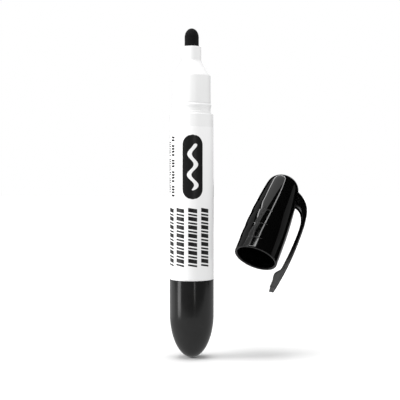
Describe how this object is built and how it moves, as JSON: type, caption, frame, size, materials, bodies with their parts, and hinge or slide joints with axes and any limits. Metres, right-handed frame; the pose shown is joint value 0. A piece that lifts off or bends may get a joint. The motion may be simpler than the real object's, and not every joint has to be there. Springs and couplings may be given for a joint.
{
  "type": "whiteboard marker",
  "caption": "Bullet-nib whiteboard marker: white barrel with printed sleeve, black end plug, felt nib, and a black clip cap off beside it.",
  "frame": {"origin": "on the barrel's axis, halfway along the barrel between the end plug's rim and the shoulder", "axes": "+Z along the barrel from the tail to the nib, +X towards the cap that stands beside it, +Y away from the viewer"},
  "size_m": [0.0514, 0.0326, 0.1194],
  "materials": {
    "white_plastic": "smooth moulded polypropylene, soft gloss",
    "printed_film": "thin white printed film, soft gloss",
    "black_print": "black screen print",
    "inked_felt": "bonded polyester fibre soaked in black ink",
    "inked_fibre": "loose polyester fibre rod soaked in ink",
    "clear_film": "thin plastic film around the fibre rod",
    "black_satin_plastic": "black moulded polypropylene, satin",
    "black_gloss_plastic": "black moulded polypropylene, high gloss"
  },
  "bodies": {
    "marker": {"barrel": "white_plastic", "print_sleeve": "printed_film", "nib_holder": "white_plastic", "nib": "inked_felt", "ink_filler": "inked_fibre", "filler_wrap": "clear_film", "end_plug": "black_satin_plastic"},
    "cap": {"cap_shell": "black_gloss_plastic", "inner_cap": "black_satin_plastic"},
    "clip": {"pocket_clip": "black_gloss_plastic"}
  },
  "joints": [
    {"name": "cap_pull", "type": "slide", "parent": "marker", "child": "cap", "axis": [0.3545, 0.4898, 0.7965], "range_m": [0, 0.032]},
    {"name": "clip_flex", "type": "hinge", "parent": "cap", "child": "clip", "pos_m": [0.04188, 0.01103, -0.0095], "axis": [-0.006, -0.8507, 0.5257], "range_deg": [0, 7], "stiffness_Nm_per_rad": 0.3}
  ]
}
